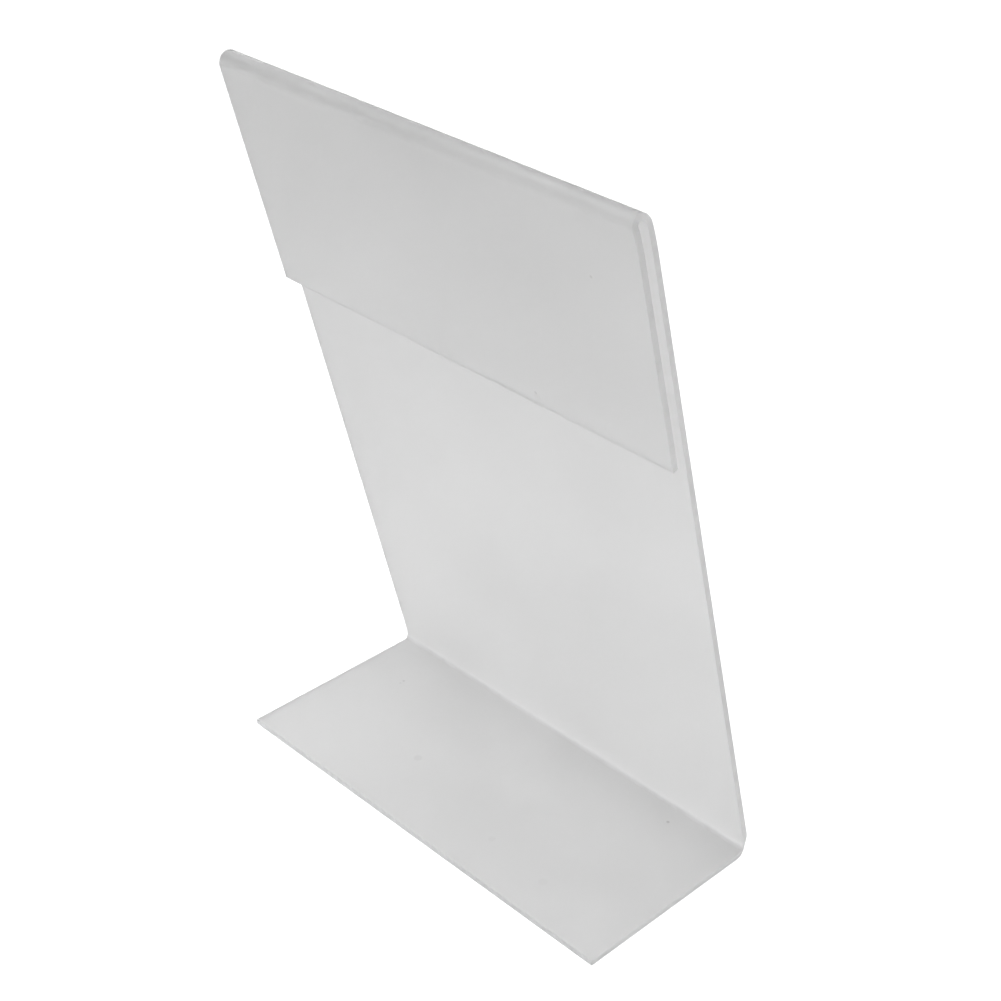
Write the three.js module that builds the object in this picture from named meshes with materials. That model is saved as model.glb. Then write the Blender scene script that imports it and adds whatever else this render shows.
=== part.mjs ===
// Slant-back sign holder: one strip of clear plastic sheet with two heat bends.
// Units are millimetres and +Z is up. The width runs along X, the sign is read from +Y,
// and the base and the flap lie behind it, towards -Y.
import * as THREE from 'three';

// Driving dimensions of the sheet and its two bends. Lengths along the strip are measured on the outside:
// from the sharp corner where base and panel would meet, and from the crown of the top bend.
const SHEET_WIDTH = 101.6;
const SHEET_THICKNESS = 1.3;
const BASE_DEPTH = 47;
const PANEL_LENGTH = 158.8;
const PANEL_LEAN_DEGREES = 15.5;
const FLAP_LENGTH = 50.3;
const POCKET_GAP = 1.7;
const BASE_BEND_INNER_RADIUS = 0.85;

// A heat bend stretches its outer skin. The base bend's outer radius is the inner one plus the sheet times
// this stretch, which thins the corner, and both bends draw in at the two ends of the sheet.
const BASE_BEND_STRETCH = 1.35;
const BASE_BEND_DRAW_IN = 0.6;
const TOP_BEND_DRAW_IN = 0.4;

// Finish, and the largest turn that one facet of a bend may take
const PLASTIC_COLOUR = 0xd3d3d1;
const PLASTIC_OPACITY = 0.6;
const PLASTIC_ROUGHNESS = 0.22;
const FACET_TURN_DEGREES = 7.5;

const quarterTurn = Math.PI / 2;
const halfTurn = Math.PI;
const facetTurn = THREE.MathUtils.degToRad(FACET_TURN_DEGREES);
const lean = THREE.MathUtils.degToRad(PANEL_LEAN_DEGREES);

// The strip is worked out in its side view, as points (y, z). Its outer face is the one that a finger
// meets all the way round: underside of the base, reading side of the panel, back of the flap.

// Unit vector in the side view, with its angle measured from +Y towards +Z.
function direction(angle) {
  return new THREE.Vector2(Math.cos(angle), Math.sin(angle));
}

// Point that lies a distance along a direction from another point.
function step(point, along, distance) {
  return point.clone().addScaledVector(along, distance);
}

// A cut or bend line across the sheet: its outer corner, and the inner one a thickness below it.
function lineAcross(outer, outwards) {
  return { outer, inner: step(outer, outwards, -SHEET_THICKNESS) };
}

const sharpCorner = new THREE.Vector2(0, 0);
const backwards = direction(halfTurn);
const downwards = direction(-quarterTurn);
const panelOut = direction(lean);
const panelUp = direction(lean + quarterTurn);
const flapOut = direction(lean + halfTurn);

// How far from the sharp corner a circle touches the base and the panel, for its distance from both.
const baseAngle = quarterTurn - lean;
function reach(inset) {
  return inset / Math.tan(baseAngle / 2);
}

// Centre of the circle that keeps that distance from the outer faces of base and panel.
function cornerCentre(inset) {
  return step(step(sharpCorner, backwards, reach(inset)), downwards, -inset);
}

// Base bend, from the underside of the base to the reading side of the panel
const baseOuterRadius = BASE_BEND_INNER_RADIUS + BASE_BEND_STRETCH * SHEET_THICKNESS;
const baseInnerInset = BASE_BEND_INNER_RADIUS + SHEET_THICKNESS;
const baseBendReach = reach(Math.max(baseOuterRadius, baseInnerInset));
const baseOuterCentre = cornerCentre(baseOuterRadius);
const baseInnerCentre = cornerCentre(baseInnerInset);
const baseTurn = [-quarterTurn, lean];
const baseBendStart = lineAcross(step(sharpCorner, backwards, baseBendReach), downwards);
const baseBendEnd = lineAcross(step(sharpCorner, panelUp, baseBendReach), panelOut);

// Top bend, a half turn round the pocket, with its crown at the panel's full length
const topInnerRadius = POCKET_GAP / 2;
const topOuterRadius = topInnerRadius + SHEET_THICKNESS;
const topStraightEnd = step(sharpCorner, panelUp, PANEL_LENGTH - topOuterRadius);
const topCentre = step(topStraightEnd, panelOut, -topOuterRadius);
const topTurn = [lean, lean + halfTurn];
const topBendStart = lineAcross(topStraightEnd, panelOut);
const topCrown = lineAcross(step(topCentre, panelUp, topOuterRadius), panelUp);
const topBendEnd = lineAcross(step(topCentre, flapOut, topOuterRadius), flapOut);

// Free ends of the strip
const baseEdge = lineAcross(step(sharpCorner, backwards, BASE_DEPTH), downwards);
const flapEdge = lineAcross(step(topBendEnd.outer, panelUp, topOuterRadius - FLAP_LENGTH), flapOut);

// Points along an arc, close enough together for the facet turn.
function arcPoints(centre, radius, startAngle, endAngle) {
  const arc = new THREE.EllipseCurve(centre.x, centre.y, radius, radius, startAngle, endAngle);
  return arc.getPoints(Math.ceil((endAngle - startAngle) / facetTurn));
}

// An outline without the points where an arc starts on the end of a line.
function withoutRepeats(points) {
  const nearest = SHEET_THICKNESS * 1e-6;
  return points.filter((point, index) => {
    const next = points[(index + 1) % points.length];
    return point.distanceTo(next) > nearest;
  });
}

// Side view of a flat stretch of sheet between two lines.
function plateShape(start, end) {
  return new THREE.Shape([start.outer, end.outer, end.inner, start.inner]);
}

// Side view of a bend between two lines: along the outer skin, and back along the inner skin.
function bendShape(start, end, outerSkin, innerSkin) {
  const there = [start.outer, ...outerSkin, end.outer];
  const back = [end.inner, ...innerSkin.reverse(), start.inner];
  return new THREE.Shape(withoutRepeats([...there, ...back]));
}

// Carries a side view across the width, from -X to +X.
function acrossWidth(shape) {
  const geometry = new THREE.ExtrudeGeometry(shape, { depth: SHEET_WIDTH, bevelEnabled: false });
  const sideViewToModel = new THREE.Matrix4().makeBasis(
    new THREE.Vector3(0, 1, 0),
    new THREE.Vector3(0, 0, 1),
    new THREE.Vector3(1, 0, 0),
  );
  return geometry.translate(0, 0, -SHEET_WIDTH / 2).applyMatrix4(sideViewToModel);
}

// Shortens the outer skin of a bend at both ends of the sheet: most in the middle of its turn,
// and not at all on its two bend lines.
function drawInEnds(geometry, centre, radius, startAngle, endAngle, amount) {
  const nearest = radius * 1e-4;
  const corners = geometry.getAttribute('position');
  for (let index = 0; index < corners.count; index += 1) {
    const side = Math.sign(corners.getX(index));
    const arm = new THREE.Vector2(corners.getY(index), corners.getZ(index)).sub(centre);
    if (Math.abs(arm.length() - radius) < nearest) {
      const turned = arm.rotateAround(new THREE.Vector2(), -startAngle).angle();
      const share = Math.min(turned / (endAngle - startAngle), 1);
      corners.setX(index, corners.getX(index) - side * amount * Math.sin(halfTurn * share));
    }
  }
  geometry.computeVertexNormals();
  return geometry;
}

// One named stretch of the strip, in clear plastic.
function stretch(name, geometry) {
  const plastic = new THREE.MeshStandardMaterial({
    color: PLASTIC_COLOUR,
    roughness: PLASTIC_ROUGHNESS,
    metalness: 0,
    transparent: true,
    opacity: PLASTIC_OPACITY,
  });
  const mesh = new THREE.Mesh(geometry, plastic);
  mesh.name = name;
  return mesh;
}

function basePlate() {
  return stretch('base_plate', acrossWidth(plateShape(baseEdge, baseBendStart)));
}

function baseBend() {
  const outerSkin = arcPoints(baseOuterCentre, baseOuterRadius, ...baseTurn);
  const innerSkin = arcPoints(baseInnerCentre, BASE_BEND_INNER_RADIUS, ...baseTurn);
  const bend = acrossWidth(bendShape(baseBendStart, baseBendEnd, outerSkin, innerSkin));
  drawInEnds(bend, baseOuterCentre, baseOuterRadius, ...baseTurn, BASE_BEND_DRAW_IN);
  return stretch('base_bend', bend);
}

function displayPanel() {
  return stretch('display_panel', acrossWidth(plateShape(baseBendEnd, topBendStart)));
}

// The top bend is made in two quarter turns, which meet on its crown.
function quarterOfTopBend(name, start, end, startAngle) {
  const turn = [startAngle, startAngle + quarterTurn];
  const outerSkin = arcPoints(topCentre, topOuterRadius, ...turn);
  const innerSkin = arcPoints(topCentre, topInnerRadius, ...turn);
  const bend = acrossWidth(bendShape(start, end, outerSkin, innerSkin));
  drawInEnds(bend, topCentre, topOuterRadius, ...topTurn, TOP_BEND_DRAW_IN);
  return stretch(name, bend);
}

function topBendFront() {
  return quarterOfTopBend('top_bend_front', topBendStart, topCrown, lean);
}

function topBendBack() {
  return quarterOfTopBend('top_bend_back', topCrown, topBendEnd, lean + quarterTurn);
}

function retainingFlap() {
  return stretch('retaining_flap', acrossWidth(plateShape(topBendEnd, flapEdge)));
}

const signHolder = new THREE.Group();
signHolder.add(
  basePlate(),
  baseBend(),
  displayPanel(),
  topBendFront(),
  topBendBack(),
  retainingFlap(),
);

// The origin lies on the table, under the middle of the holder.
const middle = new THREE.Box3().setFromObject(signHolder).getCenter(new THREE.Vector3());
signHolder.position.set(0, -middle.y, 0);

export default signHolder;
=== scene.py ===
# %% [markdown]
# Sign holder: one bent strip of hazy clear plastic.
#
# The real thing is a strip of plastic sheet that was heated along two lines and folded: a foot, a leaning
# panel, and a short flap that turns back over the top and holds a card against the panel. This lesson reads
# the strip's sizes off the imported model, works the strip out as one closed surface with numpy, gives it the
# finish of thin hazy plastic, and lights it softly on a pale floor.

import bpy
import numpy as np
from mathutils import Matrix, Vector


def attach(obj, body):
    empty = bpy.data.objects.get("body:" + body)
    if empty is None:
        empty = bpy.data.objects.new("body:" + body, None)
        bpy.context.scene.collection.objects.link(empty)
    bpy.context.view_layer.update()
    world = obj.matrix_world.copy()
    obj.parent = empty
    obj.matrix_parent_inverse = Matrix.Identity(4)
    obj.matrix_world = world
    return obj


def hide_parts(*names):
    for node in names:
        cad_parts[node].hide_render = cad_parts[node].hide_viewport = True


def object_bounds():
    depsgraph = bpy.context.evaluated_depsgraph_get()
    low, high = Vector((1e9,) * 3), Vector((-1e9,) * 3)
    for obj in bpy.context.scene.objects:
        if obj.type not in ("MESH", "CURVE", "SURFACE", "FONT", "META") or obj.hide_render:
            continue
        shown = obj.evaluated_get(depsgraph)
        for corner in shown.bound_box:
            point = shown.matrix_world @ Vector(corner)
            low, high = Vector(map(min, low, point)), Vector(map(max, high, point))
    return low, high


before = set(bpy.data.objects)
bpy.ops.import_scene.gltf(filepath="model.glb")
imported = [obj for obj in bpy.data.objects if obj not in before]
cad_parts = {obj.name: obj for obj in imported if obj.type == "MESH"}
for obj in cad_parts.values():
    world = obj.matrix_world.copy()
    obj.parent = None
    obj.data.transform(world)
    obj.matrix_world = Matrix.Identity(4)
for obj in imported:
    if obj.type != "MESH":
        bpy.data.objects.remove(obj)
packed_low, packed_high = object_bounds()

MM = 0.001


def in_mm(lengths):
    """Lengths in metres as a list in millimetres, rounded for printing."""
    return [round(float(length) / MM, 3) for length in np.atleast_1d(lengths)]


print("packed box, mm:", in_mm(packed_low), in_mm(packed_high))

# %% [markdown]
# The camera comes first, because every later choice is judged through it. The photograph was taken from
# behind the holder, above and to the right, with a lens of moderate length. The camera's place and its three
# angles were solved from the straight edges in the picture. The rotation is built from plain vectors: forward
# from azimuth and elevation, right from the horizon, and then both turned by the small roll.

# %% Camera
CAMERA_PLACE = Vector((227.50, -225.84, 268.61)) * MM
CAMERA_AZIMUTH = np.radians(45.08)
CAMERA_ELEVATION = np.radians(31.64)
CAMERA_ROLL = np.radians(0.99)
# In millimetres, as Blender takes them
LENS_LENGTH = 70.09
SENSOR_WIDTH = 36.0


def camera_axes(azimuth, elevation, roll):
    """Right, up and backward unit vectors; forward drops by the elevation, roll turns right towards up."""
    level_right = np.array([np.cos(azimuth), np.sin(azimuth), 0.0])
    level_forward = np.array([-np.sin(azimuth), np.cos(azimuth), 0.0])
    forward = np.cos(elevation) * level_forward - np.sin(elevation) * np.array([0.0, 0.0, 1.0])
    up = np.cross(level_right, forward)
    right = np.cos(roll) * level_right + np.sin(roll) * up
    return right, np.cross(right, forward), -forward


camera_data = bpy.data.cameras.new("photo_camera")
camera_data.lens = LENS_LENGTH
camera_data.sensor_width = SENSOR_WIDTH
camera = bpy.data.objects.new("photo_camera", camera_data)
bpy.context.scene.collection.objects.link(camera)
axes = Matrix(camera_axes(CAMERA_AZIMUTH, CAMERA_ELEVATION, CAMERA_ROLL)).transposed()
camera.matrix_world = Matrix.Translation(CAMERA_PLACE) @ axes.to_4x4()
bpy.context.scene.camera = camera
print("camera at, mm:", in_mm(camera.location))

# %% [markdown]
# The strip is drawn in its side view, as points (y, z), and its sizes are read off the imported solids. The
# panel's largest face tells the lean. Along the directions of the foot and of the leaning panel, the corners
# of the flat solids then give the thickness, the radius of the top bend and the places where the flat
# stretches end.

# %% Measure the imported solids
QUARTER_TURN = np.pi / 2
HALF_TURN = np.pi


def corners(node):
    """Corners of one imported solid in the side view, as rows (y, z)."""
    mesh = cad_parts[node].data
    values = np.empty(3 * len(mesh.vertices))
    mesh.vertices.foreach_get("co", values)
    return values.reshape(-1, 3)[:, 1:]


def span(node, direction):
    """Least and greatest distance of a solid's corners along a unit direction."""
    distances = corners(node) @ direction
    return distances.min(), distances.max()


def unit(angle):
    """Unit vector of the side view, at an angle measured from +Y towards +Z."""
    return np.array([np.cos(angle), np.sin(angle)])


panel_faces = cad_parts["display_panel"].data.polygons
window_normal = max(panel_faces, key=lambda face: face.area).normal
lean = np.arctan(window_normal.z / window_normal.y)
backwards = unit(HALF_TURN)
upwards = unit(QUARTER_TURN)
panel_out = unit(lean)
panel_up = unit(lean + QUARTER_TURN)

half_width = packed_high.x
thickness = np.ptp(span("base_plate", upwards))
corner = np.array([span("display_panel", panel_out)[1] / np.cos(lean), 0.0])
foot_depth = span("base_plate", backwards)[1] + corner[0]
fold_reach = span("base_plate", backwards)[0] + corner[0]
panel_length = span("display_panel", panel_up)[1] - corner @ panel_up
top_radius = (span("display_panel", panel_out)[1] - span("retaining_flap", panel_out)[0]) / 2
flap_length = np.ptp(span("retaining_flap", panel_up))
print("lean, degrees:", round(float(np.degrees(lean)), 3))
print("width, thickness, foot depth, mm:", in_mm([2 * half_width, thickness, foot_depth]))
print("panel, flap, top radius, mm:", in_mm([panel_length, flap_length, top_radius]))

# %% [markdown]
# A sheet has two skins. The outer one is what a finger meets all the way round: underside of the foot,
# reading side of the panel, back of the flap. Each skin is a chain of straight lines and arcs, and both are
# sampled at the same shares, so that every row of points crosses the sheet from skin to skin. The fold at the
# foot has a circle for each skin, because the heat stretched its outer skin and thinned the corner. The outer
# circle follows from where the foot ends. The radius of the inner one is the only size of the strip that is
# stated here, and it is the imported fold's.

# %% Lines and arcs for the skins
def line(start, end, shares):
    """Points start + share * (end - start)."""
    return start + shares[:, None] * (end - start)


def arc(centre, radius, turn, shares):
    """Points centre + radius * (cos a, sin a), with the angle a running evenly through the turn."""
    angle = turn[0] + shares * (turn[1] - turn[0])
    return centre + radius * np.stack([np.cos(angle), np.sin(angle)], axis=1)


def even_shares(length, spacing):
    """Shares from 0 to 1, in equal steps that are no longer than the spacing."""
    return np.linspace(0, 1, int(np.ceil(length / spacing)) + 1)


# %% [markdown]
# The sheet was cut square, but no real edge is a perfect corner: a hair of easing catches the light. The rows
# at the two free ends therefore close in on a quarter circle. One extra row sits just inside the easing, so
# that smooth shading stays flat right up to it.

# %% Shares of each stretch of the strip
ROW_SPACING = 1.2 * MM
BEND_STEP = np.radians(5)
EDGE_EASE = 0.12 * MM
EASE_STEPS = 4
FLAT_MARGIN = 0.3 * MM

ease_angles = np.linspace(0, QUARTER_TURN, EASE_STEPS + 1)
ease_distances = EDGE_EASE * (1 - np.cos(ease_angles))
ease_insets = EDGE_EASE * (1 - np.sin(ease_angles))


def shares_from_cut(length):
    """Shares of a flat stretch from its cut end: the eased rows, the flat margin, then even rows."""
    eased = np.append(ease_distances, EDGE_EASE + FLAT_MARGIN) / length
    even = even_shares(length, ROW_SPACING)
    return np.concatenate([eased, even[even > 2 * eased[-1]]])


fold_turn = (-QUARTER_TURN, lean)
top_turn = (lean, lean + HALF_TURN)
foot_shares = shares_from_cut(foot_depth - fold_reach)
fold_shares = even_shares(fold_turn[1] - fold_turn[0], BEND_STEP)
panel_shares = even_shares(panel_length - fold_reach, ROW_SPACING)
top_shares = even_shares(HALF_TURN, BEND_STEP)
flap_shares = 1 - shares_from_cut(flap_length)[::-1]
stretches = (foot_shares, fold_shares, panel_shares, top_shares, flap_shares)
print("steps in foot, fold, panel, top bend and flap:", [len(shares) - 1 for shares in stretches])

# %% Both skins in the side view
FOLD_INNER_RADIUS = 0.85 * MM

half_fold = np.tan((QUARTER_TURN - lean) / 2)
fold_inner_reach = (FOLD_INNER_RADIUS + thickness) / half_fold
top_centre = corner + panel_length * panel_up - top_radius * panel_out


def skin(depth, fold_radius, reach, radius):
    """One skin that lies a depth under the outer one: foot, fold, panel, half turn over the top, flap.

    Its fold touches foot and panel at the same reach, measured along each from the outer skin's corner."""
    foot_corner = corner + depth * upwards
    panel_corner = corner - depth * panel_out
    fold_centre = foot_corner + reach * backwards + fold_radius * upwards
    flap_start = top_centre - radius * panel_out
    return np.concatenate([
        line(foot_corner + foot_depth * backwards, foot_corner + reach * backwards, foot_shares),
        arc(fold_centre, fold_radius, fold_turn, fold_shares)[1:-1],
        line(panel_corner + reach * panel_up, panel_corner + panel_length * panel_up, panel_shares),
        arc(top_centre, radius, top_turn, top_shares)[1:-1],
        line(flap_start, flap_start - flap_length * panel_up, flap_shares),
    ])


outer_skin = skin(0.0, fold_reach * half_fold, fold_reach, top_radius)
inner_skin = skin(thickness, FOLD_INNER_RADIUS, fold_inner_reach, top_radius - thickness)
through = outer_skin - inner_skin
row_normal = through / np.linalg.norm(through, axis=1, keepdims=True)
row_inset = np.zeros(len(outer_skin))
row_inset[:len(ease_insets)] = ease_insets
row_inset[-len(ease_insets):] = ease_insets[::-1]
print("rows along the strip:", len(outer_skin))

# %% [markdown]
# Across the width the section is a long, thin rectangle with eased corners. It is written as one closed ring:
# along the outer skin, down the cut edge at +X, back along the inner skin, and up the cut edge at -X. Each
# point has an x, a height between inner skin (0) and outer skin (1), and a mark that says how far it belongs
# to a cut edge.

# %% Section across the width
COLUMN_SPACING = 1.2 * MM

columns = np.linspace(-1, 1, int(np.ceil(2 * half_width / COLUMN_SPACING)) + 1)[1:-1]
columns[[0, -1]] = np.array([-1, 1]) * (1 - FLAT_MARGIN / half_width)
skin_x = columns * (half_width - EDGE_EASE)
corner_angles = np.linspace(QUARTER_TURN, 0, EASE_STEPS + 1)
corner_x = half_width - EDGE_EASE * (1 - np.cos(corner_angles))
corner_height = 1 - EDGE_EASE / thickness * (1 - np.sin(corner_angles))

cut_x = np.concatenate([corner_x, corner_x[::-1]])
cut_height = np.concatenate([corner_height, 1 - corner_height[::-1]])
cut_mark = np.concatenate([np.cos(corner_angles), np.cos(corner_angles)[::-1]])
on_skin = np.ones_like(skin_x)
ring_x = np.concatenate([skin_x, cut_x, skin_x[::-1], -cut_x[::-1]])
ring_height = np.concatenate([on_skin, cut_height, 0 * on_skin, cut_height[::-1]])
ring_mark = np.concatenate([0 * on_skin, cut_mark, 0 * on_skin, cut_mark[::-1]])
print("points round the section:", len(ring_x))

# %% [markdown]
# Bending by hand over a hot wire leaves traces, and they are what makes the strip look real. To place them,
# every row gets its distance along the strip, measured midway between the skins, and the rows where the two
# bends start and end are noted.

# %% Distances along the strip
middle = (outer_skin + inner_skin) / 2
along = np.append(0, np.cumsum(np.linalg.norm(np.diff(middle, axis=0), axis=1)))
fold_rows = len(foot_shares) - 1 + np.array([0, len(fold_shares) - 1])
top_rows = fold_rows[1] + len(panel_shares) - 1 + np.array([0, len(top_shares) - 1])


def past_bend(rows):
    """Distance of every row from a bend's nearest line, along the sheet; zero inside the bend."""
    first, last = along[rows]
    return np.maximum(0, np.maximum(first - along, along - last))


def from_bend(rows, share):
    """Distance of every row along the sheet from the line at a share of a bend, positive towards the flap."""
    first, last = along[rows]
    return along - first - share * (last - first)


print("length of the strip, mm:", in_mm(along[-1]))

# %% [markdown]
# At the fold the stretched outer skin draws in at both ends of the sheet, and at the -X end the squeezed
# inner skin swells out. The sheet was hotter at +X and shrank, so both skins draw in at that end, most of all
# at the top bend. In each pair of numbers the first is for the -X end and the second for the +X end. An inner
# share says how much of the outer skin's draw-in the inner skin follows.

# %% Draw-in at the ends of the bends
FOLD_DRAW_IN = np.array([0.62, 0.66]) * MM
FOLD_DRAW_PLACE = 0.75
FOLD_DRAW_SPREAD = 1.6 * MM
FOLD_INNER_SHARE = np.array([-0.6, 0.3])
TOP_DRAW_IN = np.array([0.1, 1.05]) * MM
TOP_DRAW_SPREAD = 2.0 * MM
TOP_LINE_SHARE = np.exp(-1)
TOP_INNER_SHARE = 0.8


def bell(distance, spread):
    """A bell curve over a distance: e to the power of minus the square of distance over spread."""
    return np.exp(-(distance / spread) ** 2)


def arch(rows, line_share, spread):
    """A sine over a bend, on top of a share at its lines that fades exponentially beyond them."""
    first, last = along[rows]
    turned = np.clip((along - first) / (last - first), 0, 1)
    return line_share * np.exp(-past_bend(rows) / spread) + (1 - line_share) * np.sin(HALF_TURN * turned)


fold_draw_in = np.outer(bell(from_bend(fold_rows, FOLD_DRAW_PLACE), FOLD_DRAW_SPREAD), FOLD_DRAW_IN)
top_draw_in = np.outer(arch(top_rows, TOP_LINE_SHARE, TOP_DRAW_SPREAD), TOP_DRAW_IN)
print("draw-in at most, at fold and top, mm:", in_mm([fold_draw_in.max(), top_draw_in.max()]))

# %% [markdown]
# The warm sheet also ripples faintly along the bends, more at the sharp fold than over the round top. The
# flap came out slightly twisted, so it closes on the panel at one end and opens at the other, and its lower
# edge is not quite square.

# %% Ripple, and twist of the flap
RIPPLE_HEIGHT = 0.02 * MM
RIPPLE_SPREAD = 5.0 * MM
TOP_RIPPLE = 0.35
RIPPLE_LENGTHS = np.array([37.0, 17.3, 9.1]) * MM
FLAP_CLOSING = np.radians([0.23, -0.12])
FLAP_EXTRA = np.array([-0.29, 0.32]) * MM


def ripple(x):
    """A sum of sines across the width, one for each ripple length, with unlike phases."""
    phases = 2 * np.pi * x[..., None] / RIPPLE_LENGTHS + np.arange(len(RIPPLE_LENGTHS))
    return RIPPLE_HEIGHT * np.sin(phases).sum(axis=-1)


row_ripple = np.exp(-past_bend(fold_rows) / RIPPLE_SPREAD)
row_ripple = row_ripple + TOP_RIPPLE * np.exp(-past_bend(top_rows) / RIPPLE_SPREAD)
flap_run = np.maximum(0, along - along[top_rows[1]])
print("flap moved at its lower edge, mm:", in_mm(-flap_run[-1] * FLAP_CLOSING))

# %% [markdown]
# Heat dulls the plastic at the bends, and painted shade is laid on the same number. A soft, blotchy grey band
# runs along the crown of the top bend and weakens towards +X: it is heat haze, which also roughens it, and
# painted shade that dims the crown's highlight. A narrow painted shade lies beside the fold, and a wide one,
# stronger towards +X, lies over the foot where the leaning panel shades it. Panel and flap get a painted shade
# that darkens them towards their -X end. Only the course of haze and shade is worked out here, row by row:
# a bell over the crown, a quick and a slow fade over the foot, and a step up across the fold. The finish
# reads it further down.

# %% Haze and painted shade of the bends
# Crown band, at the -X and the +X end: heat haze, and painted shade that dims the crown's highlight
CROWN_HAZE_AND_SHADE = np.array([0.6, 0.2])
CROWN_HAZE_PLACE = 0.66
CROWN_HAZE_SPREAD = 0.9 * MM
# Painted shade beside the fold, on the foot's side
FOLD_PAINTED_SHADE = 0.12
FOLD_SHADE_PLACE = 0.5
FOLD_SHADE_SPREAD = 4.0 * MM
FOLD_SHADE_RISE = 0.25 * MM
# Painted shade over the foot under the leaning panel, at the -X and the +X end
FOOT_PAINTED_SHADE = np.array([0.09, 0.21])
FOOT_SHADE_SPREAD = 40.0 * MM
# Painted shade that darkens panel and flap towards their -X end
END_PAINTED_SHADE = 0.06
END_SHADE_SPREAD = 15.0 * MM

past_fold = from_bend(fold_rows, FOLD_SHADE_PLACE)


def fade_over_foot(spread):
    """An exponential fade from the fold over the foot, by the spread, with a sudden end towards the panel."""
    return np.exp(np.where(past_fold < 0, past_fold / spread, -past_fold / FOLD_SHADE_RISE))


crown_bell = bell(from_bend(top_rows, CROWN_HAZE_PLACE), CROWN_HAZE_SPREAD)
fold_fade = fade_over_foot(FOLD_SHADE_SPREAD)
foot_fade = fade_over_foot(FOOT_SHADE_SPREAD)
beyond_fold = np.interp(along, along[fold_rows], [0.0, 1.0])
print("haze peaks on rows:", int(fold_fade.argmax()), int(crown_bell.argmax()))

# %% [markdown]
# The sawn edges are darkened, and this is again one number for each row, read off a short chain of places and
# amounts. The edges of the foot and the sides of the flap are darker, and the darkest spot is painted shade
# where the pocket ends in the top bend. The flap's lower edge is left clear. The amounts hold for the +X end,
# and grow towards it from nothing at the -X end.

# %% Darkened sawn edges, with painted shade at the pocket's end
FOOT_EDGE_DARKENING = 0.28
# Painted shade where the pocket ends in the top bend
POCKET_PAINTED_SHADE = 0.45
FLAP_EDGE_DARKENING = 0.14
POCKET_SHADE_FROM = 0.35
POCKET_SHADE_PEAK = 0.7
POCKET_SHADE_LENGTH = 3.0 * MM
CLEAR_EDGE_LENGTH = 0.5 * MM

top_start, top_end = along[top_rows]
edge_darkening_chain = np.array([
    (along[fold_rows[0]], FOOT_EDGE_DARKENING),
    (along[fold_rows[1]], 0.0),
    (top_start + POCKET_SHADE_FROM * (top_end - top_start), 0.0),
    (top_start + POCKET_SHADE_PEAK * (top_end - top_start), POCKET_PAINTED_SHADE),
    (top_end + POCKET_SHADE_LENGTH, FLAP_EDGE_DARKENING),
    (along[-1] - CLEAR_EDGE_LENGTH, FLAP_EDGE_DARKENING),
    (along[-1], 0.0),
])
row_edge_darkening = np.interp(along, *edge_darkening_chain.T)
print("rows with grime:", int((row_edge_darkening > 0).sum()))

# %% [markdown]
# Now rows and ring meet. Every point takes its height between the skins from the ring, and its place in the
# side view from its row. Then the traces are laid on it: x narrows at the bends, ripple and twist move it
# along the row's normal, and the flap's slant moves it down the panel. Marks for haze and painted shade, for
# the darkened sawn edges and for cuts are worked out for the same points.

# %% The whole strip as one surface
MID_HEIGHT = 0.5

height = MID_HEIGHT + (ring_height - MID_HEIGHT) * (1 - 2 * row_inset[:, None] / thickness)
ring_end = np.where(ring_x > 0, 1, 0)
fold_narrowing = fold_draw_in[:, ring_end] * (height + FOLD_INNER_SHARE[ring_end] * (1 - height))
top_narrowing = top_draw_in[:, ring_end] * (height + TOP_INNER_SHARE * (1 - height))
x = ring_x * (1 - (row_inset[:, None] + fold_narrowing + top_narrowing) / half_width)
share_right = (x / half_width + 1) / 2


def between_ends(values):
    """A value at the -X end and one at the +X end, joined evenly across the width."""
    return values[0] + share_right * (values[1] - values[0])


outward = row_ripple[:, None] * ripple(x) - flap_run[:, None] * between_ends(FLAP_CLOSING)
downward = flap_run[:, None] / flap_length * between_ends(FLAP_EXTRA)
side_view = inner_skin[:, None] + height[..., None] * through[:, None]
side_view = side_view + outward[..., None] * row_normal[:, None] - downward[..., None] * panel_up
points = np.concatenate([x[..., None], side_view], axis=-1)
print("grid of points:", points.shape)

# %% Marks for haze and painted shade, darkened edges and cuts
cut_marks = np.maximum(ring_mark, row_inset[:, None] / EDGE_EASE)
cut_runs = np.where(row_inset[:, None] > 0, x, along[:, None])
# Haze and painted shade of the bends, one number for every point
haze_and_shade_marks = crown_bell[:, None] * between_ends(CROWN_HAZE_AND_SHADE) + foot_fade[:, None] * between_ends(FOOT_PAINTED_SHADE)
end_fade = np.exp(-(x + half_width) / END_SHADE_SPREAD)
haze_and_shade_marks = haze_and_shade_marks + FOLD_PAINTED_SHADE * fold_fade[:, None] + END_PAINTED_SHADE * beyond_fold[:, None] * end_fade
# Darkened sawn edges, with painted shade at the pocket's end, growing from -X to +X
edge_darkening_marks = row_edge_darkening[:, None] * share_right
print("greatest haze and grime:", round(float(haze_and_shade_marks.max()), 3), round(float(edge_darkening_marks.max()), 3))

# %% [markdown]
# The grid becomes a mesh: each cell between two rows and two ring points is one quad, and the ring closes on
# itself. The two ends are closed with quads as well, from the upper half of the ring straight across to the
# lower half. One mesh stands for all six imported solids, because in see-through plastic any wall between them
# would show as a line that the real strip doesn't have.

# %% Quads of the strip
CM = 10 * MM

row_total, ring_total = x.shape
index = np.arange(row_total * ring_total).reshape(row_total, ring_total)
next_in_ring = np.roll(index, -1, axis=1)
side_quads = np.stack([index[:-1], next_in_ring[:-1], next_in_ring[1:], index[1:]], axis=-1).reshape(-1, 4)


def end_quads(ring):
    """Quads across a cut end, between the ring's upper half and its lower half in the same order."""
    started_mid_edge = np.roll(ring, len(corner_angles))
    upper, lower = np.split(started_mid_edge, 2)
    lower = lower[::-1]
    return np.stack([upper[:-1], lower[:-1], lower[1:], upper[1:]], axis=-1)


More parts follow.
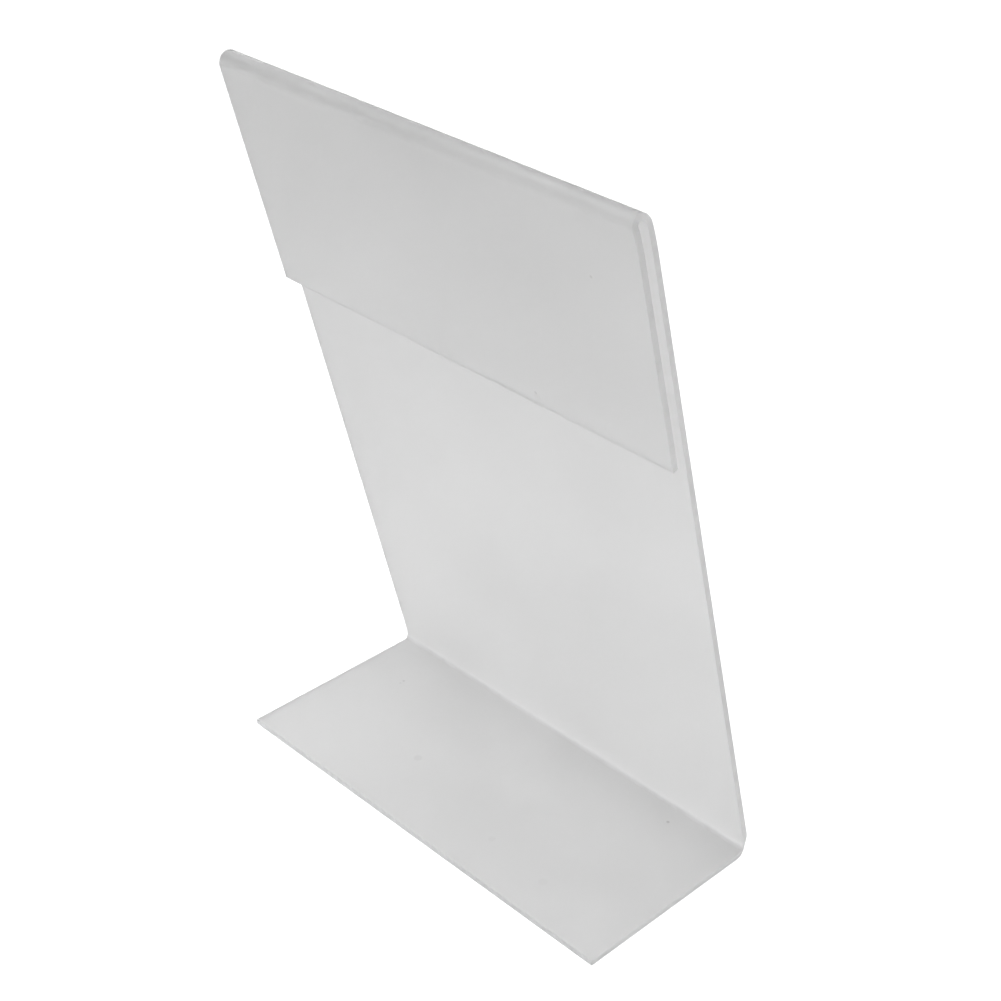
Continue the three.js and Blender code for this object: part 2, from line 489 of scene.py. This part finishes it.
quads = np.concatenate([side_quads, end_quads(index[0]), end_quads(index[-1])[:, ::-1]])


def enclosed_volume(corner_points, faces):
    """Volume of a closed mesh: a sixth of each triangle's triple product; negative if it is inside out."""
    triangles = corner_points[np.concatenate([faces[:, [0, 1, 2]], faces[:, [0, 2, 3]]])]
    return np.einsum("ij,ij->", triangles[:, 0], np.cross(triangles[:, 1], triangles[:, 2])) / 6


flat_points = points.reshape(-1, 3)
if enclosed_volume(flat_points, quads) < 0:
    quads = quads[:, ::-1]
print("quads:", len(quads), "volume, cubic cm:", round(enclosed_volume(flat_points, quads) / CM ** 3, 3))

# %% Mesh and object of the strip
strip_mesh = bpy.data.meshes.new("bent_sheet")
strip_mesh.from_pydata(flat_points.tolist(), [], quads.tolist())
strip_mesh.polygons.foreach_set("use_smooth", np.ones(len(quads), bool))
# The mesh carries haze and painted shade, the darkened sawn edges with their painted shade, and the cut run
for name, values in (("haze_and_painted_shade", haze_and_shade_marks), ("edge_darkening_and_shade", edge_darkening_marks), ("cut_run", cut_runs)):
    attribute = strip_mesh.attributes.new(name, "FLOAT", "POINT")
    attribute.data.foreach_set("value", values.astype(np.float32).ravel())
strip_mesh.update()
bent_sheet = bpy.data.objects.new("bent_sheet", strip_mesh)
bpy.context.scene.collection.objects.link(bent_sheet)
print("points in the strip's mesh:", len(strip_mesh.vertices))

# %% [markdown]
# The sheet is clear plastic with a haze in it: light comes through, but spread so far that nothing behind it
# shows sharply. Such a look could be made with a cloudy volume or with scattering under the surface. A rough
# refracting surface is chosen here, because it renders quickly, survives an export to other programs, and
# gives the same even, quiet grey. A few small helpers keep the node trees short.

# %% Node helpers
NOISE_DETAIL = 2.0
# Places of the sockets on a Mix node that mixes colours
MIX_SHARE, MIX_FIRST, MIX_SECOND, MIX_RESULT = 0, 6, 7, 2


def add_node(tree, kind, inputs, **settings):
    """Adds a shader node, sets its properties, and fills its inputs with plain values or links."""
    node = tree.nodes.new(kind)
    for name, value in settings.items():
        setattr(node, name, value)
    for key, value in inputs.items():
        if isinstance(value, bpy.types.NodeSocket):
            tree.links.new(value, node.inputs[key])
        else:
            node.inputs[key].default_value = value
    return node


def carried_over(tree, value, start, end, low, high):
    """A value carried over from the range start to end to the range low to high, along a smooth S curve."""
    ranges = {"Value": value, "From Min": start, "From Max": end, "To Min": low, "To Max": high}
    return add_node(tree, "ShaderNodeMapRange", ranges, interpolation_type="SMOOTHSTEP").outputs["Result"]


def summed(tree, *values):
    """The sum of several values, added one after another."""
    total = values[0]
    for value in values[1:]:
        total = add_node(tree, "ShaderNodeMath", {0: total, 1: value}, operation="ADD").outputs[0]
    return total


def times(tree, value, factor):
    """A value times a factor."""
    return add_node(tree, "ShaderNodeMath", {0: value, 1: factor}, operation="MULTIPLY").outputs[0]


def mixed(tree, share, first, second):
    """A colour between two others: the first at share 0, the second at share 1."""
    sockets = {MIX_SHARE: share, MIX_FIRST: first, MIX_SECOND: second}
    return add_node(tree, "ShaderNodeMix", sockets, data_type="RGBA").outputs[MIX_RESULT]


def object_place(tree):
    """The place of the shaded point in Object coordinates."""
    return add_node(tree, "ShaderNodeTexCoord", {}).outputs["Object"]


def carried_by_mesh(tree, name):
    """The value that the mesh carries in a named attribute."""
    return add_node(tree, "ShaderNodeAttribute", {}, attribute_name=name).outputs["Fac"]


def patches(tree, size):
    """Soft noise from 0 to 1 on Object coordinates, in patches of about the given size."""
    settings = {"Vector": object_place(tree), "Scale": 1 / size, "Detail": NOISE_DETAIL}
    return add_node(tree, "ShaderNodeTexNoise", settings).outputs["Fac"]


# %% [markdown]
# The faces come first. Their colour is nearly white, since thin plastic swallows only a few hundredths of the
# light. What dulls and shades it is added up as one number: wide cloudy patches left by handling, the band of
# heat haze and painted shade from the bends, broken up by finer patches, and a few small marks of use. The
# wide patches also vary the roughness, the band raises it, and a very shallow bump stands for the orange peel
# of extruded sheet.

# %% Finish of the faces
PLASTIC_IOR = 1.49
FACE_TRANSMISSION = 0.98
FACE_COLOUR = (0.995, 0.995, 0.995, 1.0)
# Colour at full dullness; it also gives the painted shade of the bends
DULL_AND_SHADE_COLOUR = (0.60, 0.60, 0.60, 1.0)
FACE_ROUGHNESS = 0.32
ROUGHNESS_SWING = 0.03
CLOUD_SIZE = 45 * MM
CLOUD_DULLNESS = 0.05
BLOTCH_SIZE = 14 * MM
BLOTCH_LEAST = 0.75
BEND_FROST = 0.6
PEEL_SIZE = 1.5 * MM
PEEL_HEIGHT = 0.01 * MM
PEEL_STRENGTH = 0.2
NOISE_LOW = 0.35
NOISE_HIGH = 0.65


def new_finish(name, transmission):
    """A material whose surface lets a share of the light through, and bends it as plastic does."""
    finish = bpy.data.materials.new(name)
    finish.use_nodes = True
    surface = finish.node_tree.nodes["Principled BSDF"]
    surface.inputs["Transmission Weight"].default_value = transmission
    surface.inputs["IOR"].default_value = PLASTIC_IOR
    return finish, finish.node_tree, surface


hazy_plastic, tree, surface = new_finish("hazy_plastic", FACE_TRANSMISSION)
cloud = patches(tree, CLOUD_SIZE)
blotch = patches(tree, BLOTCH_SIZE)
# The band is the bends' heat haze and painted shade: it greys the faces and raises their roughness
haze_and_shade_band = carried_by_mesh(tree, "haze_and_painted_shade")
broken_haze_and_shade = times(tree, haze_and_shade_band, carried_over(tree, blotch, NOISE_LOW, NOISE_HIGH, BLOTCH_LEAST, 1.0))
dullness_and_shade = summed(tree, carried_over(tree, cloud, NOISE_LOW, NOISE_HIGH, 0.0, CLOUD_DULLNESS), broken_haze_and_shade)

# %% [markdown]
# The holder has been used. Its foot carries a round smudge, two fainter ones and three dark specks. The flap
# has a speck near its +X end, and a chipped spot on its lower edge. Each is a spot around one point of a
# face: full in the middle, and gone at the radius.

# %% Small marks of use
def on_foot(across, behind):
    """A point of the foot's upper face, by its x and its distance behind the fold's corner."""
    return (across, *(corner + behind * backwards + thickness * upwards))


def on_flap(across, below):
    """A point of the flap's outer face, by its x and its distance below the crown."""
    return (across, *(top_centre - top_radius * panel_out + (top_radius - below) * panel_up))


# Each mark: its middle, its radius, and how dull it is
MARKS = [
    (on_foot(-16.4 * MM, 30.2 * MM), 1.2 * MM, 0.36),
    (on_foot(13.1 * MM, 36.7 * MM), 1.0 * MM, 0.2),
    (on_foot(29.2 * MM, 38.2 * MM), 1.3 * MM, 0.17),
    (on_foot(34.4 * MM, 6.7 * MM), 0.45 * MM, 1.0),
    (on_foot(-38.9 * MM, 14.1 * MM), 0.4 * MM, 0.6),
    (on_foot(-38.8 * MM, 15.2 * MM), 0.35 * MM, 0.4),
    (on_flap(39.2 * MM, 14.4 * MM), 0.4 * MM, 0.6),
    (on_flap(19.3 * MM, 47.5 * MM), 0.45 * MM, 0.6),
    (on_flap(19.6 * MM, 48.6 * MM), 1.2 * MM, 0.2),
]
MARK_CORE = 0.5

for middle_point, radius, depth in MARKS:
    apart = {0: object_place(tree), 1: middle_point}
    away = add_node(tree, "ShaderNodeVectorMath", apart, operation="DISTANCE").outputs["Value"]
    dullness_and_shade = summed(tree, dullness_and_shade, carried_over(tree, away, MARK_CORE * radius, radius, depth, 0.0))
print("marks of use:", len(MARKS))

# %% Faces put together
tree.links.new(mixed(tree, dullness_and_shade, FACE_COLOUR, DULL_AND_SHADE_COLOUR), surface.inputs["Base Color"])
roughness = carried_over(tree, cloud, NOISE_LOW, NOISE_HIGH,
                         FACE_ROUGHNESS - ROUGHNESS_SWING, FACE_ROUGHNESS + ROUGHNESS_SWING)
tree.links.new(summed(tree, roughness, times(tree, haze_and_shade_band, BEND_FROST)), surface.inputs["Roughness"])
peel = add_node(tree, "ShaderNodeBump", {
    "Strength": PEEL_STRENGTH, "Distance": PEEL_HEIGHT, "Height": patches(tree, PEEL_SIZE)})
tree.links.new(peel.outputs["Normal"], surface.inputs["Normal"])
print("nodes in the finish of the faces:", len(tree.nodes))

# %% [markdown]
# The sawn edges are frosted: they scatter the light on its way through, throw part of it back, and look a
# shade darker than the faces. A saw leaves fine lines straight across the thickness, a little uneven in
# depth. They vary only along the edge, so the noise is one-dimensional and runs on the distance along the
# cut, which the mesh carries as an attribute. The darkening of the edges comes from the mesh too, with the
# painted shade at the pocket's end, and a little unevenness is added to it.

# %% Finish of the sawn edges
CUT_TRANSMISSION = 0.65
CUT_COLOUR = (0.99, 0.99, 0.99, 1.0)
DARK_EDGE_COLOUR = (0.60, 0.60, 0.60, 1.0)
CUT_ROUGHNESS = 0.8
CUT_ROUGHNESS_SWING = 0.08
SAW_LINE = 0.4 * MM
SAW_DEPTH = 0.03 * MM
SAW_STRENGTH = 0.5
UNEVEN_LENGTH = 14 * MM
UNEVEN_SWING = 0.05

sawn_edge, tree, surface = new_finish("sawn_edge", CUT_TRANSMISSION)
run = carried_by_mesh(tree, "cut_run")


def along_cut(length):
    """Noise from 0 to 1 that changes only along the cut, in stretches of about the given length."""
    settings = {"W": run, "Scale": 1 / length}
    return add_node(tree, "ShaderNodeTexNoise", settings, noise_dimensions="1D").outputs["Fac"]


saw_lines = along_cut(SAW_LINE)
uneven = carried_over(tree, along_cut(UNEVEN_LENGTH), NOISE_LOW, NOISE_HIGH, 0.0, UNEVEN_SWING)
# Darkened sawn edges with the painted shade at the pocket's end, plus a little unevenness
dark_edges_and_shade = summed(tree, carried_by_mesh(tree, "edge_darkening_and_shade"), uneven)
tree.links.new(mixed(tree, dark_edges_and_shade, CUT_COLOUR, DARK_EDGE_COLOUR), surface.inputs["Base Color"])
roughness = carried_over(tree, saw_lines, NOISE_LOW, NOISE_HIGH,
                         CUT_ROUGHNESS - CUT_ROUGHNESS_SWING, CUT_ROUGHNESS + CUT_ROUGHNESS_SWING)
tree.links.new(roughness, surface.inputs["Roughness"])
saw_bump = add_node(tree, "ShaderNodeBump", {
    "Strength": SAW_STRENGTH, "Distance": SAW_DEPTH, "Height": saw_lines})
tree.links.new(saw_bump.outputs["Normal"], surface.inputs["Normal"])
print("nodes in the finish of the sawn edges:", len(tree.nodes))

# %% [markdown]
# A face of the mesh gets the sawn finish where its corners' marks say that it is cut, and the hazy one
# elsewhere. The strip then rides on the holder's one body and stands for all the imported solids.

# %% Finishes on the strip
SAWN_FROM = 0.5

strip_mesh.materials.append(hazy_plastic)
strip_mesh.materials.append(sawn_edge)
on_cut = cut_marks.ravel()[quads].mean(axis=1) > SAWN_FROM
strip_mesh.polygons.foreach_set("material_index", on_cut.astype(np.int32))
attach(bent_sheet, "root")
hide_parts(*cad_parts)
print("sawn faces:", int(on_cut.sum()), "of", len(on_cut))

# %% [markdown]
# The holder stands on a plain pale floor. Its colour holds a painted pool of light: brightest near the holder
# and dimmer with distance, as lamps light a real table, and this is what the plastic shows of the floor behind
# it. The camera itself sees the floor as plain white: a little glow is added for camera rays only, which the
# plastic and the shadows never notice.

# %% Floor
FLOOR_HALF = 3.0
FLOOR_DROP = 0.05 * MM
PAINTED_POOL_BRIGHT = 0.97
PAINTED_POOL_DIM = 0.6
POOL_BRIGHT_REACH = 0.03
POOL_DIM_REACH = 0.7
FLOOR_ROUGHNESS = 0.9
FLOOR_SHOWN = 0.7
WHITE = (1.0, 1.0, 1.0, 1.0)

sides = np.array([[-1, -1], [1, -1], [1, 1], [-1, 1]]) * FLOOR_HALF
floor_points = np.column_stack([sides, np.full(len(sides), -FLOOR_DROP)])
floor_mesh = bpy.data.meshes.new("floor")
floor_mesh.from_pydata(floor_points.tolist(), [], [tuple(range(len(sides)))])
floor = bpy.data.objects.new("floor", floor_mesh)
bpy.context.scene.collection.objects.link(floor)

pale_floor = bpy.data.materials.new("pale_floor")
pale_floor.use_nodes = True
tree = pale_floor.node_tree
surface = tree.nodes["Principled BSDF"]
from_middle = {0: object_place(tree)}
away = add_node(tree, "ShaderNodeVectorMath", from_middle, operation="LENGTH").outputs["Value"]
# Painted pool of light: the floor's colour falls from bright to dim away from the holder
painted_light_pool = carried_over(tree, away, POOL_BRIGHT_REACH, POOL_DIM_REACH, PAINTED_POOL_BRIGHT, PAINTED_POOL_DIM)
tree.links.new(painted_light_pool, surface.inputs["Base Color"])
seen = add_node(tree, "ShaderNodeLightPath", {}).outputs["Is Camera Ray"]
tree.links.new(times(tree, seen, FLOOR_SHOWN), surface.inputs["Emission Strength"])
surface.inputs["Emission Color"].default_value = WHITE
surface.inputs["Roughness"].default_value = FLOOR_ROUGHNESS
surface.inputs["Specular IOR Level"].default_value = 0.0
floor_mesh.materials.append(pale_floor)
print("floor, metres across:", 2 * FLOOR_HALF)

# %% [markdown]
# The light is that of a white tent: an even sky all round, with one softbox high above and one to the left.
# The plastic only shows what is around it, so an even room gives the flat, quiet greys of the photograph,
# while the left softbox lets the foot brighten towards its left corner. The sky shows itself to the camera as
# white.

# %% Light
SKY_STRENGTH = 0.685
SKY_SHOWN = 1.0
TOP_PLACE = (0.1, -0.1, 1.0)
TOP_SIZE = 1.2
TOP_POWER = 1.0
SIDE_PLACE = (-0.8, 0.0, 0.6)
SIDE_SIZE = 1.0
SIDE_POWER = 0.9

world = bpy.data.worlds.new("white_tent")
world.use_nodes = True
tree = world.node_tree
sky = tree.nodes["Background"]
seen = add_node(tree, "ShaderNodeLightPath", {}).outputs["Is Camera Ray"]
strength = carried_over(tree, seen, 0.0, 1.0, SKY_STRENGTH, SKY_SHOWN)
tree.links.new(strength, sky.inputs["Strength"])
sky.inputs["Color"].default_value = WHITE
bpy.context.scene.world = world


def softbox(name, place, size, power):
    """A square area light at a place, turned to face the holder."""
    data = bpy.data.lights.new(name, "AREA")
    data.size = size
    data.energy = power
    lamp = bpy.data.objects.new(name, data)
    lamp.location = place
    lamp.rotation_euler = (-Vector(place)).to_track_quat("-Z", "Y").to_euler()
    bpy.context.scene.collection.objects.link(lamp)


softbox("top_softbox", TOP_PLACE, TOP_SIZE, TOP_POWER)
softbox("left_softbox", SIDE_PLACE, SIDE_SIZE, SIDE_POWER)
print("lights:", [light.name for light in bpy.data.lights])

# %% [markdown]
# Three settings of the renderer matter for clear plastic. The plain view transform keeps the greys as they
# are. Light that enters at an edge is reflected many times inside the sheet, so the bounces are raised. The
# glossy filter, which blurs such light to save time, is off, because it darkens plastic that lies on a floor.

# %% Renderer settings that suit clear plastic
GLOSSY_BOUNCES = 12
MAX_BOUNCES = 24

bpy.context.scene.view_settings.view_transform = "Standard"
bpy.context.scene.cycles.glossy_bounces = GLOSSY_BOUNCES
bpy.context.scene.cycles.max_bounces = MAX_BOUNCES
bpy.context.scene.cycles.blur_glossy = 0.0
print("light bounces at most:", MAX_BOUNCES)
